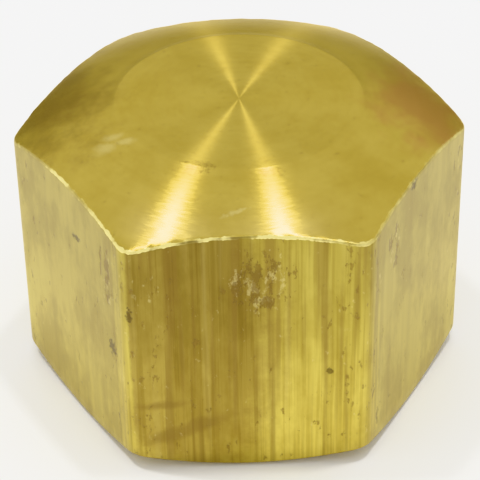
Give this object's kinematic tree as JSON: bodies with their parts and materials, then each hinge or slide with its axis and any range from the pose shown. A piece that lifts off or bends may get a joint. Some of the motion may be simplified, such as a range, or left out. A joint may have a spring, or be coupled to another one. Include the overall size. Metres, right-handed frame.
{
  "type": "pipe cap",
  "caption": "Hexagonal brass cap that screws over a male pipe end to close it, with a faced and crowned closed end, wrench flats and an internal taper thread.",
  "frame": {"origin": "centre of the open end's plane, where the cap stands", "axes": "+Z along the thread's axis to the closed end, +X through a corner of the hexagon, +Y square to a flat"},
  "size_m": [0.0288, 0.0254, 0.0197],
  "materials": {
    "brass": "drawn flats, finely turned ends, light handling marks"
  },
  "bodies": {
    "root": {"cap_body": "brass"}
  },
  "joints": []
}
